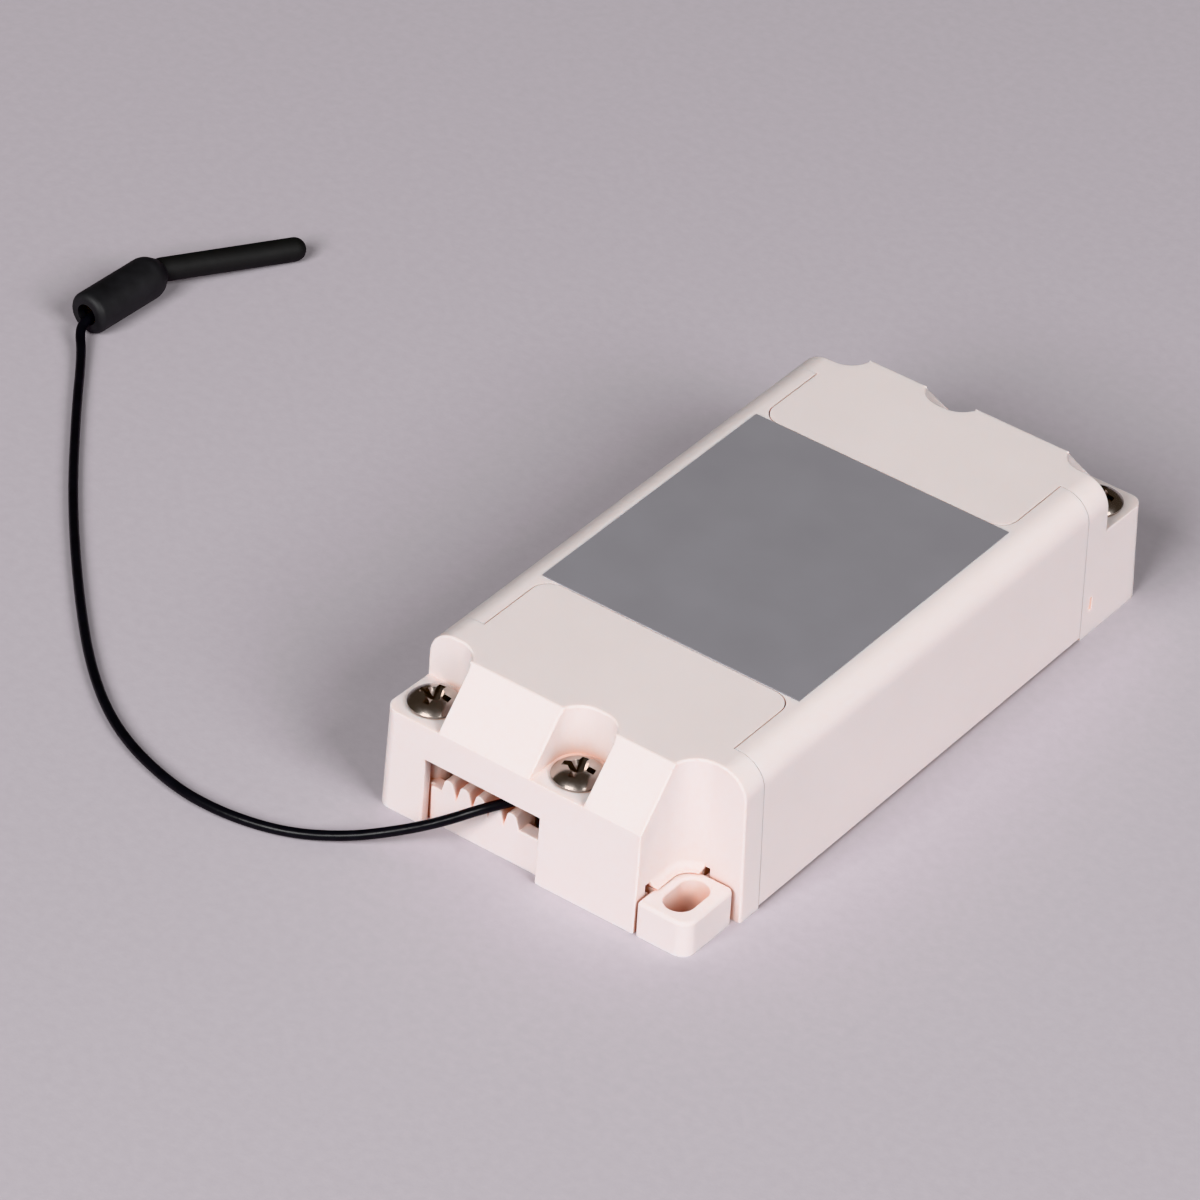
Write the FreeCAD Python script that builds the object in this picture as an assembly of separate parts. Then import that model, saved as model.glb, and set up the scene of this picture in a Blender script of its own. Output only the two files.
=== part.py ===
import FreeCAD, Part
import math
import os

# Plug-in housing of a small light controller, with two lift-off terminal covers and a wire antenna.
# Millimetres. X runs across the width, Y along the length with the antenna end at -Y, Z up from the floor.
# The origin is the middle of the housing's underside. "v" is a distance from the end face inwards.

# Housing
length = 101.0
width = 50.0
height = 22.8
wall = 1.6
side_draft = 0.6
end_draft = 0.75
long_edge_radius = 4.0
corner_radius = 2.0
slope_rise = 7.5
slope_depth = 6.5
brow_radius = 0.35
overcut = 1.0

# Terminal cover
cover_depth = 14.2
tongue_reach = 26.95
tongue_half_width = 19.5
tongue_thickness = 1.5
tongue_corner_radius = 2.75
seam = 0.15
side_seam = 0.06
seat_gap = 0.05
pocket_half_width = 4.2
pocket_depth = 9.45
pocket_corner_radius = 3.6
pocket_floor_thickness = 1.8
window_height = 10.1
window_side_inset = 7.3
window_overhang = 2.34
dimple_depth = 0.4
dimple_width = 0.8
dimple_height = 2.0
dimple_v = 11.9
dimple_z = 4.0

# Cover screws
corner_screw_inset = 4.9
centre_screw_offset = 2.7
screw_v = 5.1
screw_head_radius = 3.5
screw_head_height = 1.5
screw_rim_height = 0.4
screw_rim_chamfer = 0.15
screw_core_radius = 1.5
screw_point_height = 3.35
screw_tip_length = 2.0
screw_hole_clearance = 0.35
thread_clearance = 0.05
recess_width = 0.95
recess_span = 4.4
recess_depth = 1.45
recess_edge_drop = 0.4
recess_cone_radius = 1.3
boss_radius = 3.0
boss_height = 8.6

# Mounting ears
ear_height = 5.4
ear_side_inset = 0.95
ear_gap = 0.25
ear_corner_radius = 2.0
ear_rear_radius = 1.0
ear_softening = 0.6
recess_v = 10.3
recess_side_inset = 9.1
recess_radius = 3.8
slot_width = 4.2
slot_length = 7.0
slot_v = 5.2
slot_side_inset = 4.9
slot_softening = 0.4
root_start_v = 3.4
root_side_inset = 6.1
root_notch_width = 0.8
root_notch_height = 0.6
root_gap = 0.25
lip_reach = 1.1
lip_thickness = 0.25

# Base tray
floor_thickness = 2.0
base_clearance = 0.35
base_wall = 1.2
base_wall_height = 8.0
front_wall_v = 2.0
front_wall_thickness = 1.6
front_wall_height = 5.63
sill_reach = 0.6
sill_gap = 0.3
foot_lift = 0.5

# Cable clamp
clamp_flank = 1.87
clamp_pitch = 2.5
clamp_teeth = 5
clamp_depth = 3.0
clamp_rise = 2.2
clamp_tip_radius = 0.7
clamp_opening = 1.6
pressure_rib_thickness = 1.4
pressure_rib_gap = 1.2

# Main cover
ledge_width = 1.5
ledge_thickness = 1.2
hold_post_radius = 1.1
hold_post_v = 18.2
hold_post_inset = 4.7
hold_post_gap = 0.1
snap_v = 34.0
snap_length = 5.0
snap_height = 1.6
snap_reach = 0.9
snap_z = 4.6
snap_clearance = 0.25

# Label
label_width = 40.4
label_thickness = 0.12
label_margin = 0.22

# Circuit board
board_v = 12.5
board_side_gap = 0.25
board_standoff = 2.2
board_thickness = 1.6
post_radius = 2.2
peg_radius = 1.2
peg_clearance = 0.05
post_inset = 4.2
post_v = 26.0

# Terminal blocks
block_poles = 2
block_pitch = 5.08
block_end_wall = 0.8
block_depth = 9.0
block_height = 10.0
block_v = 13.3
block_chamfer = 1.2
wire_hole_width = 3.4
wire_hole_height = 3.8
wire_hole_lift = 1.2
cage_wall = 0.5
cage_gap = 0.1
cage_length = 5.4
clamp_screw_radius = 1.25
clamp_screw_head_radius = 1.9
clamp_screw_head_height = 1.6
clamp_screw_length = 2.6
clamp_screw_slot = 0.6
clamp_screw_slot_depth = 0.8
clamp_screw_clearance = 0.08
block_screw_v = 4.6

# Radio module
module_side_gap = 2.6
module_v = 28.0
module_width = 16.0
module_length = 24.0
module_thickness = 0.8
shield_width = 12.5
shield_length = 15.0
shield_height = 2.2
shield_wall = 0.2
shield_margin = 1.0
socket_size = 2.6
socket_height = 0.6
socket_pin_radius = 0.8
socket_pin_height = 0.9
socket_inset_x = 4.2
socket_inset_v = 3.2
plug_radius = 1.35
plug_height = 1.5
plug_barrel_radius = 0.72
plug_barrel_length = 2.6
plug_approach = 4.3

# Parts on the board
capacitor_radius = 5.0
capacitor_height = 12.5
capacitor_groove = 0.35
capacitor_groove_height = 2.2
capacitor_side_inset = 8.6
capacitor_v = 33.0
inductor_size = 12.0
inductor_shell_size = 11.0
inductor_height = 8.0
inductor_corner = 2.0
inductor_base = 1.2
inductor_side_inset = 9.1
inductor_v = 51.0
transistor_width = 6.6
transistor_length = 6.2
transistor_height = 2.3
transistor_tab = 1.4
transistor_tab_inset = 0.5
transistor_tab_thickness = 0.6
transistor_pitch = 9.0
transistor_fuse_gap = 1.0
transistor_rear_v = 30.4
chip_width = 3.9
chip_length = 4.9
chip_height = 1.5
chip_legs = 4
chip_leg_reach = 1.0
chip_leg_width = 0.4
chip_leg_thickness = 0.25
chip_side_inset = 5.1
chip_rear_v = 33.1
fuse_width = 4.0
fuse_length = 8.5
fuse_height = 8.0
fuse_side_inset = 9.1
fuse_rear_v = 24.5
small_part_width = 1.6
small_part_length = 3.2
small_part_height = 1.2
small_part_pitch = 4.0
small_part_count = 5
small_part_side_inset = 6.1
small_part_rear_v = 15.4

# Antenna
lead_radius = 0.685
sleeve_radius = 3.15
sleeve_bore_radius = 2.3
sleeve_mouth_radius = 1.6
sleeve_mouth_depth = 1.2
sleeve_length = 14.6
sleeve_shoulder = 1.6
sleeve_shoulder_radius = 3.0
sleeve_collar = 0.3
sleeve_rim_radius = 0.9
sleeve_x = -120.4
sleeve_v = 55.35
sleeve_heading = 87.8
brass_wall = 0.35
brass_clearance = 0.02
brass_setback = 1.6
tip_radius = 1.75
tip_start = 10.3
tip_straight = 0.6
tip_length = 20.35
tip_heading = 61.5
tip_bend_radius = 2.5
tip_clearance = 0.02
floor_gap = 0.02
bend_share = 0.45

# Where the lead crosses the clamp, and how far it enters the sleeve below the sleeve's axis
exit_x = -5.4
exit_v = 2.6
lead_drop = 0.75

# Worked out from the sizes above
half_length = length / 2
half_width = width / 2
front_face_height = height - slope_rise
corner_screw_x = corner_screw_inset - half_width
recess_x = half_width - recess_side_inset
window_left = window_side_inset - half_width
window_right = centre_screw_offset - window_overhang
clamp_left = window_left + clamp_flank
clamp_width = clamp_pitch * clamp_teeth
clamp_top = front_wall_height + clamp_rise
screw_hole_radius = screw_core_radius + screw_hole_clearance
base_half_width = half_width - wall - base_clearance
ear_side = half_width - ear_side_inset
board_bottom = floor_thickness + board_standoff
board_top = board_bottom + board_thickness
board_half_width = base_half_width - base_wall - board_side_gap
root_inner = recess_x - wall - ear_gap
root_side = half_width - root_side_inset
root_back_v = recess_v + wall + ear_gap
cover_floor = front_face_height - pocket_floor_thickness
tongue_bottom = height - tongue_thickness
block_width = block_poles * block_pitch + 2 * block_end_wall
block_x = clamp_left + clamp_width / 2
cage_top = board_top + wire_hole_lift + cage_gap + wire_hole_height
module_top = board_top + module_thickness
reach = 2 * half_width
lead_floor = lead_radius + floor_gap
lead_exit_z = clamp_top + lead_radius + seat_gap
sleeve_mouth = (sleeve_x, sleeve_v, sleeve_radius)
capacitor_x = capacitor_side_inset - board_half_width
inductor_x = inductor_side_inset - board_half_width
chip_x = board_half_width - chip_side_inset
fuse_x = board_half_width - fuse_side_inset
transistor_x = fuse_x - fuse_width / 2 - transistor_fuse_gap - transistor_width / 2 - transistor_pitch
module_x = board_half_width - module_side_gap - module_width
small_part_x = small_part_side_inset - board_half_width

# The free lead's chosen points (x, v, z), from the clamp down to the floor and round into the sleeve
lead_points = [
    (exit_x, exit_v, lead_exit_z),
    (-7.5, -0.3, 8.2),
    (-12.1, -3.5, 5.4),
    (-17.2, -6.3, 3.0),
    (-22.5, -9.4, 1.3),
    (-29.2, -13.1, lead_floor),
    (-37.9, -15.2, lead_floor),
    (-46.7, -14.9, lead_floor),
    (-58.4, -11.1, lead_floor),
    (-69.1, -3.8, lead_floor),
    (-81.5, 8.1, lead_floor),
    (-95.7, 23.4, lead_floor),
    (-108.5, 39.2, lead_floor),
    (-117.0, 50.4, 0.85),
    (-119.9, 53.3, 1.75),
    (-120.35, 55.0, sleeve_radius - lead_drop),
    (-120.2, 60.0, sleeve_radius - lead_drop),
    (-120.0, sleeve_v + tip_start - seat_gap, sleeve_radius - lead_drop),
]

# The points inside the housing, from the clamp past the boss towards the plug
inside_points = [
    (exit_x, exit_v, lead_exit_z),
    (-3.0, 5.9, 8.6),
    (0.4, 10.2, 8.5),
    (3.8, 15.1, 8.2),
    (6.9, 19.9, 8.0),
]


def vector(x, y, z):
    return FreeCAD.Vector(x, y, z)


def end_y(v):
    """The Y of a place that lies v inwards from the front end face."""
    return v - half_length


def place(point):
    """The position of a chosen (x, v, z) point."""
    x, v, z = point
    return vector(x, end_y(v), z)


def block(x0, x1, v0, v1, z0, z1):
    return Part.makeBox(x1 - x0, v1 - v0, z1 - z0, vector(x0, end_y(v0), z0))


def rod(x, v, z0, z1, radius):
    return Part.makeCylinder(radius, z1 - z0, vector(x, end_y(v), z0))


def heading_vector(heading):
    """A level unit vector at a heading in degrees from +X towards +Y."""
    return vector(math.cos(math.radians(heading)), math.sin(math.radians(heading)), 0)


def turned(shape):
    """The same piece at the rear end: the housing is alike when turned half round."""
    copy = shape.copy()
    copy.rotate(vector(0, 0, 0), vector(0, 0, 1), 180)
    return copy


def corner_arc(before, corner, after, radius):
    """Start, middle and end of the arc that rounds a corner."""
    to_before = (before - corner).normalize()
    to_after = (after - corner).normalize()
    half_angle = to_before.getAngle(to_after) / 2
    run = radius / math.tan(half_angle)
    middle_line = (to_before + to_after).normalize()
    centre = corner + middle_line * (radius / math.sin(half_angle))
    return corner + to_before * run, centre - middle_line * radius, corner + to_after * run


def rounded_wire(points, radii, closed=True):
    """A wire through the points, with each corner rounded by its own radius."""
    count = len(points)
    stops = []
    for index, point in enumerate(points):
        at_end = not closed and index in (0, count - 1)
        if at_end or radii[index] <= 0:
            stops.append((point, None, point))
        else:
            stops.append(corner_arc(points[index - 1], point, points[(index + 1) % count], radii[index]))
    edges = []
    for index, (start, middle, end) in enumerate(stops):
        if middle is not None:
            edges.append(Part.Arc(start, middle, end).toShape())
        if closed or index < count - 1:
            following = stops[(index + 1) % count][0]
            if following.distanceToPoint(end) > 1e-6:
                edges.append(Part.LineSegment(end, following).toShape())
    return Part.Wire(edges)


def prism(points, radii, travel):
    return Part.Face(rounded_wire(points, radii)).extrude(travel)


def plan_prism(corners, radii, z0, z1):
    """An upright prism over a plan outline of (x, v) corners."""
    points = [vector(x, end_y(v), z0) for x, v in corners]
    return prism(points, radii, vector(0, 0, z1 - z0))


def cross_section(inset, bottom, v0, v1):
    """The housing's cross-section, drawn in by inset, as a bar from v0 to v1."""
    top = height - inset
    foot = half_width - inset + side_draft * (0 - bottom) / height
    shoulder = half_width - inset - side_draft * top / height
    y = end_y(v0)
    low = [vector(-foot, y, bottom), vector(foot, y, bottom)]
    high = [vector(shoulder, y, top), vector(-shoulder, y, top)]
    rounding = long_edge_radius - inset
    return prism(low + high, [0, 0, rounding, rounding], vector(0, v1 - v0, 0))


def end_profile(shift, drop, bottom, v1):
    """The end face, the slope and the top seen from the side, as a bar across the housing."""
    lean = end_draft * front_face_height / height
    outline = [
        (shift, bottom),
        (shift + lean, front_face_height - drop),
        (shift + lean + slope_depth, height - drop),
        (v1, height - drop),
        (v1, bottom),
    ]
    points = [vector(-reach, end_y(v), z) for v, z in outline]
    return prism(points, [0, 0, 0, 0, 0], vector(2 * reach, 0, 0))


def tongue_outline(grow):
    side = tongue_half_width + grow
    start = cover_depth - wall
    end = tongue_reach + grow
    corners = [(-side, start), (side, start), (side, end), (-side, end)]
    rounding = tongue_corner_radius + grow
    return corners, [0, 0, rounding, rounding]


def centre_pocket(grow, z0, z1):
    side = pocket_half_width + grow
    back = pocket_depth + grow
    corners = [
        (centre_screw_offset - side, -wall),
        (centre_screw_offset + side, -wall),
        (centre_screw_offset + side, back),
        (centre_screw_offset - side, back),
    ]
    rounding = pocket_corner_radius + grow
    return plan_prism(corners, [0, 0, rounding, rounding], z0, z1)


def corner_pocket(grow, z0, z1):
    side = corner_screw_x + pocket_half_width + grow
    back = pocket_depth + grow
    corners = [(-reach, -wall), (side, -wall), (side, back), (-reach, back)]
    return plan_prism(corners, [0, 0, pocket_corner_radius + grow, 0], z0, z1)


def ear_recess(grow, z0, z1):
    side = recess_x - grow
    back = recess_v + grow
    corners = [(side, -wall), (reach, -wall), (reach, back), (side, back)]
    return plan_prism(corners, [0, 0, 0, recess_radius + grow], z0, z1)


def scallops(left, v0, depth, low, rise, upward):
    """A row of clamp teeth with round tips and sharp valleys between them."""
    sign = 1 if upward else -1
    half = clamp_pitch / 2
    tip_centre = rise - clamp_tip_radius
    to_centre = math.hypot(half, tip_centre)
    lean = math.atan2(tip_centre, half) + math.asin(clamp_tip_radius / to_centre)
    run = math.sqrt(to_centre ** 2 - clamp_tip_radius ** 2)
    shoulder_x = run * math.cos(lean)
    shoulder_z = run * math.sin(lean)
    y = end_y(v0)
    edges = []
    for tooth in range(clamp_teeth):
        x = left + tooth * clamp_pitch
        valley = vector(x, y, low)
        rising = vector(x + shoulder_x, y, low + sign * shoulder_z)
        tip = vector(x + half, y, low + sign * rise)
        falling = vector(x + clamp_pitch - shoulder_x, y, low + sign * shoulder_z)
        next_valley = vector(x + clamp_pitch, y, low)
        edges.append(Part.LineSegment(valley, rising).toShape())
        edges.append(Part.Arc(rising, tip, falling).toShape())
        edges.append(Part.LineSegment(falling, next_valley).toShape())
    back_z = low - sign * rise
    right = left + clamp_width
    edges.append(Part.LineSegment(vector(right, y, low), vector(right, y, back_z)).toShape())
    edges.append(Part.LineSegment(vector(right, y, back_z), vector(left, y, back_z)).toShape())
    edges.append(Part.LineSegment(vector(left, y, back_z), vector(left, y, low)).toShape())
    return Part.Face(Part.Wire(edges)).extrude(vector(0, depth, 0))


def edges_near(shape, test):
    """The edges whose middle passes a test."""
    found = []
    for edge in shape.Edges:
        middle = edge.valueAt((edge.FirstParameter + edge.LastParameter) / 2)
        if test(middle):
            found.append(edge)
    return found


def cover_outside():
    """The outer form of a terminal cover, without its pockets."""
    bar = cross_section(0, 0, 0, cover_depth)
    body = bar.common(end_profile(0, 0, 0, cover_depth))
    middle = front_face_height / 2
    upright = edges_near(body, lambda p: p.x < 0 and p.y < end_y(wall) and abs(p.z - middle) < wall)
    body = body.makeFillet(corner_radius, upright)
    past_slope = end_y(slope_depth + wall)
    brow = edges_near(body, lambda p: p.y < past_slope and p.z > front_face_height - wall / 2)
    return body.makeFillet(brow_radius, brow)


def cover_tongue():
    corners, radii = tongue_outline(0)
    return plan_prism(corners, radii, tongue_bottom + seat_gap, height)


def cover_bosses():
    """The sleeves under the pockets that the cover screws pass through."""
    low = boss_height + seat_gap
    corner = rod(corner_screw_x, screw_v, low, cover_floor, boss_radius)
    centre = rod(centre_screw_offset, screw_v, low, cover_floor, boss_radius)
    return [corner, centre]


def pressure_rib():
    """The cover's own row of teeth, which presses the cables on the tray's row."""
    roots = clamp_top + clamp_opening + clamp_rise
    v0 = front_wall_v + clamp_depth + pressure_rib_gap
    teeth = scallops(clamp_left, v0, pressure_rib_thickness, roots, clamp_rise, False)
    web = block(clamp_left, clamp_left + clamp_width, v0, v0 + pressure_rib_thickness, roots, height)
    return teeth.fuse(web)


def terminal_cover():
    body = cover_outside()
    past = cover_depth + wall
    hollow = cross_section(wall, -overcut, -wall, past).common(end_profile(wall, wall, -overcut, past))
    shell = body.cut(hollow)
    high = height + overcut
    walls = [
        corner_pocket(wall, cover_floor, high),
        centre_pocket(wall, cover_floor, high),
        ear_recess(wall, 0, high),
    ]
    walls = [piece.common(body) for piece in walls]
    ribs = [piece.common(body) for piece in cover_bosses() + [pressure_rib()]]
    shell = shell.multiFuse(walls + ribs + [cover_tongue()])
    cuts = [
        corner_pocket(0, front_face_height, high),
        centre_pocket(0, front_face_height, high),
        ear_recess(0, -overcut, high),
        block(window_left, window_right, -wall, front_wall_v, -overcut, window_height),
        rod(corner_screw_x, screw_v, 0, high, screw_hole_radius),
        rod(centre_screw_offset, screw_v, 0, high, screw_hole_radius),
        root_opening(),
        side_dimple(),
    ]
    shell = shell.cut(Part.makeCompound(cuts))
    return shell.fuse(recess_lip()).removeSplitter()


def recess_lip():
    """The foot of the recess wall, which curves out over the ear's root between the notches."""
    low = ear_height + root_gap
    top = low + lip_thickness + lip_reach
    room = ear_recess(0, low + lip_thickness, top + overcut)
    level = end_y(front_wall_v)
    foot = edges_near(room, lambda p: p.z < top - lip_reach / 2 and p.y > level and p.x < reach - overcut)
    foot = [edge for edge in foot if edge.BoundBox.ZLength < overcut / 2]
    room = room.makeFillet(lip_reach, foot)
    lip = ear_recess(overcut / 2, low, top).cut([ear_recess(-lip_reach, low - overcut, top + overcut), room])
    side = root_side + root_gap
    front = root_start_v - root_gap
    return lip.common(block(recess_x - overcut, side, front, recess_v + overcut, low, top))


def side_dimple():
    """A small mark pressed in the side wall near the seam."""
    back = dimple_depth - half_width
    return block(-reach, back, dimple_v, dimple_v + dimple_width, dimple_z, dimple_z + dimple_height)


def root_opening():
    """The gap in the recess wall that the ear's root passes through, with a small notch at each end."""
    side = root_side + root_gap
    front = root_start_v - root_gap
    low = ear_height - root_notch_height
    top = ear_height + root_gap
    high = top + root_notch_height
    main = block(root_inner, side, front, root_back_v, -overcut, top)
    front_notch = block(root_inner, recess_x + ear_gap, front - root_notch_width, front, low, high)
    side_notch = block(side, side + root_notch_width, recess_v - ear_gap, root_back_v, low, high)
    return main.fuse([front_notch, side_notch])


def mounting_ear():
    side = recess_x + ear_gap
    back = recess_v - ear_gap
    corners = [(side, 0), (ear_side, 0), (ear_side, back), (side, back)]
    radii = [ear_softening, ear_corner_radius, ear_rear_radius, recess_radius - ear_gap]
    ear = plan_prism(corners, radii, 0, ear_height)
    top_edges = edges_near(ear, lambda p: p.z > ear_height - 0.01)
    ear = ear.makeFillet(ear_softening, top_edges)
    ear = ear.fuse(block(root_inner, root_side, root_start_v, root_back_v, 0, ear_height))
    slot_x = half_width - slot_side_inset
    left = slot_x - slot_width / 2
    right = slot_x + slot_width / 2
    front = slot_v - slot_length / 2
    back = slot_v + slot_length / 2
    corners = [(left, front), (right, front), (right, back), (left, back)]
    ear = ear.cut(plan_prism(corners, [slot_width / 2] * 4, -overcut, ear_height + overcut))
    rim = edges_near(ear, lambda p: p.z > ear_height - 0.01 and is_at_slot(p))
    return ear.makeFillet(slot_softening, rim)


def is_at_slot(point):
    across = point.x - (half_width - slot_side_inset)
    along = point.y - end_y(slot_v)
    return math.hypot(across, along) < slot_length / 2 + slot_softening


def tray_end():
    """What the tray has at its front end: bosses, front wall, clamp teeth and ear."""
    left = -base_half_width
    front = block(left, root_inner, front_wall_v, front_wall_v + front_wall_thickness, 0, front_wall_height)
    sill_v = front_wall_v - sill_reach
    sill_right = window_right - sill_gap
    sill = block(window_left + sill_gap, sill_right, sill_v, front_wall_v + overcut, 0, front_wall_height)
    clamp = scallops(clamp_left, sill_v, sill_reach + clamp_depth, front_wall_height, clamp_rise, True)
    clamp_back = front_wall_v + clamp_depth
    clamp_foot = block(clamp_left, clamp_left + clamp_width, front_wall_v, clamp_back, 0, front_wall_height)
    inner = base_half_width - base_wall
    rear = length - front_wall_v
    side_wall = block(inner, base_half_width, root_back_v, rear, 0, base_wall_height)
    pieces = [front, sill, clamp, clamp_foot, side_wall, mounting_ear()]
    for x in (corner_screw_x, centre_screw_offset):
        pieces.append(rod(x, screw_v, 0, boss_height, boss_radius))
    post_x = board_half_width - post_inset
    for x in (post_x, -post_x):
        pieces.append(rod(x, post_v, 0, board_bottom, post_radius))
        pieces.append(rod(x, post_v, 0, board_top - peg_clearance, peg_radius))
    return pieces


def tray_cuts():
    """What is cut from the tray at its front end."""
    high = floor_thickness + overcut
    corner = block(root_inner, root_side, front_wall_v - overcut, root_start_v, -overcut, high)
    side = block(root_side, reach, recess_v - ear_gap, root_back_v, -overcut, high)
    cuts = [corner, side]
    pilot = screw_core_radius + thread_clearance
    depth = screw_point_height - overcut
    for x in (corner_screw_x, centre_screw_offset):
        cuts.append(rod(x, screw_v, depth, boss_height + overcut, pilot))
    for v in (snap_v, length - snap_v - snap_length):
        cuts.append(snap_window(v))
    return cuts


def snap_window(v):
    inner = base_half_width - base_wall - overcut
    outer = base_half_width + overcut
    low = snap_z - snap_clearance
    high = snap_z + snap_height + snap_clearance
    return block(inner, outer, v - snap_clearance, v + snap_length + snap_clearance, low, high)


def base_tray():
    rear = length - front_wall_v
    floor = block(-base_half_width, base_half_width, front_wall_v, rear, 0, floor_thickness)
    high = floor_thickness + overcut
    under_recess = block(root_inner, reach, front_wall_v - overcut, root_back_v, -overcut, high)
    floor = floor.cut([under_recess, turned(under_recess)])
    pieces = tray_end()
    pieces = pieces + [turned(piece) for piece in pieces]
    tray = floor.multiFuse(pieces)
    cuts = tray_cuts()
    cuts = cuts + [turned(piece) for piece in cuts]
    return tray.cut(Part.makeCompound(cuts)).removeSplitter()


def main_cover():
    start = cover_depth + side_seam
    body = cross_section(0, foot_lift, start, length - start)
    shell = body.cut(cross_section(wall, -overcut, start - overcut, length - start + overcut))
    corners, radii = tongue_outline(seam)
    opening = plan_prism(corners, radii, height - 2 * wall, height + overcut)
    ledge_corners, ledge_radii = tongue_outline(ledge_width)
    inner_corners, inner_radii = tongue_outline(-ledge_width)
    ledge = plan_prism(ledge_corners, ledge_radii, tongue_bottom - ledge_thickness, tongue_bottom)
    ledge = ledge.cut(plan_prism(inner_corners, inner_radii, tongue_bottom - 2 * ledge_thickness, height))
    ledge = ledge.common(block(-half_width, half_width, start, half_length, 0, height))
    shell = shell.cut([opening, turned(opening)])
    pieces = [ledge, turned(ledge)]
    for v in (snap_v, length - snap_v - snap_length):
        pieces.append(snap_hook(v))
        pieces.append(turned(snap_hook(v)))
    post_x = half_width - hold_post_inset
    for x in (post_x, -post_x):
        post = rod(x, hold_post_v, board_top + hold_post_gap, tongue_bottom, hold_post_radius)
        pieces += [post, turned(post)]
    return shell.multiFuse(pieces).removeSplitter()


def snap_hook(v):
    """A wedge on the side wall that catches in the tray's wall."""
    outer = half_width - wall / 2
    tip = half_width - wall - base_clearance - snap_reach
    z0 = snap_z
    points = [
        vector(outer, end_y(v), z0),
        vector(tip, end_y(v), z0 + snap_height),
        vector(outer, end_y(v), z0 + snap_height),
    ]
    return prism(points, [0, 0, 0], vector(0, snap_length, 0))


def cross_recess(x, v, z):
    """The cross-shaped driver recess, tapered towards its point."""
    y = end_y(v)
    half = recess_span / 2
    thin = recess_width / 2
    top = z + overcut
    edge = z - recess_edge_drop
    deep = z - recess_depth
    outline = [(-half, top), (half, top), (half, edge), (thin, deep), (-thin, deep), (-half, edge)]
    points = [vector(x + across, y - thin, level) for across, level in outline]
    blades = []
    for turn in (0, 90):
        blade = prism(points, [0] * len(points), vector(0, recess_width, 0))
        blade.rotate(vector(x, y, z), vector(0, 0, 1), turn)
        blades.append(blade)
    spread = (recess_cone_radius - thin) / recess_depth
    mouth_radius = recess_cone_radius + spread * overcut
    cone = Part.makeCone(thin, mouth_radius, recess_depth + overcut, vector(x, y, deep))
    return blades[0].fuse([blades[1], cone])


def cover_screw(x, turn):
    """A pan-head screw with a cross recess, seated on its pocket's floor."""
    seat = front_face_height + seat_gap
    top = seat + screw_head_height
    bottom = screw_point_height
    rim = seat + screw_rim_height
    points = [
        vector(0, 0, bottom),
        vector(screw_core_radius, 0, bottom + screw_tip_length),
        vector(screw_core_radius, 0, seat),
        vector(screw_head_radius - screw_rim_chamfer, 0, seat),
        vector(screw_head_radius, 0, seat + screw_rim_chamfer),
        vector(screw_head_radius, 0, rim),
    ]
    edges = [Part.LineSegment(points[i], points[i + 1]).toShape() for i in range(len(points) - 1)]
    halfway = math.sqrt(0.5)
    dome_middle = vector(screw_head_radius * halfway, 0, rim + (top - rim) * halfway)
    edges.append(Part.Arc(points[-1], dome_middle, vector(0, 0, top)).toShape())
    edges.append(Part.LineSegment(vector(0, 0, top), points[0]).toShape())
    screw = Part.Face(Part.Wire(edges)).revolve(vector(0, 0, 0), vector(0, 0, 1), 360)
    screw.translate(vector(x, end_y(screw_v), 0))
    recess = cross_recess(x, screw_v, top)
    recess.rotate(vector(x, end_y(screw_v), 0), vector(0, 0, 1), turn)
    return screw.cut(recess)


def rating_label():
    v0 = tongue_reach + label_margin
    return block(-label_width / 2, label_width / 2, v0, length - v0, height, height + label_thickness)


def circuit_board():
    board = block(-board_half_width, board_half_width, board_v, length - board_v, board_bottom, board_top)
    post_x = board_half_width - post_inset
    holes = [rod(x, post_v, 0, height, peg_radius + peg_clearance) for x in (post_x, -post_x)]
    return board.cut(holes + [turned(hole) for hole in holes])


def pole_centres():
    first = block_x - (block_poles - 1) * block_pitch / 2
    return [first + pole * block_pitch for pole in range(block_poles)]


def terminal_block():
    """The insulating body: a sloped front, a wire hole and a screw well for each pole."""
    left = block_x - block_width / 2
    top = board_top + block_height
    outline = [
        (block_v, board_top),
        (block_v, top - 2 * block_chamfer),
        (block_v + block_chamfer, top),
        (block_v + block_depth, top),
        (block_v + block_depth, board_top),
    ]
    points = [vector(left, end_y(v), z) for v, z in outline]
    body = prism(points, [0] * len(points), vector(block_width, 0, 0))
    cuts = []
    low = board_top + wire_hole_lift
    high = low + wire_hole_height + cage_wall + cage_gap
    back = block_v + block_depth - cage_wall - cage_gap
    well_radius = clamp_screw_head_radius + clamp_screw_clearance
    for x in pole_centres():
        half = wire_hole_width / 2
        cuts.append(block(x - half, x + half, block_v - overcut, back, low, high))
        cuts.append(rod(x, block_v + block_screw_v, low, top + overcut, well_radius))
    return body.cut(cuts)


def terminal_cages():
    """One metal wire cage for each pole, in the wire hole."""
    low = cage_top - wire_hole_height
    outer = wire_hole_width / 2 - cage_gap
    inner = outer - cage_wall
    back = block_v + block_depth - cage_wall - 2 * cage_gap
    front = back - cage_length
    hole_radius = clamp_screw_radius + thread_clearance
    cages = []
    for x in pole_centres():
        cage = block(x - outer, x + outer, front, back, low, cage_top)
        deep = back - cage_wall
        bore = block(x - inner, x + inner, front - overcut, deep, low + cage_wall, cage_top - cage_wall)
        hole = rod(x, block_v + block_screw_v, low + cage_wall, cage_top + overcut, hole_radius)
        cages.append(cage.cut([bore, hole]))
    return Part.makeCompound(cages)


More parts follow.
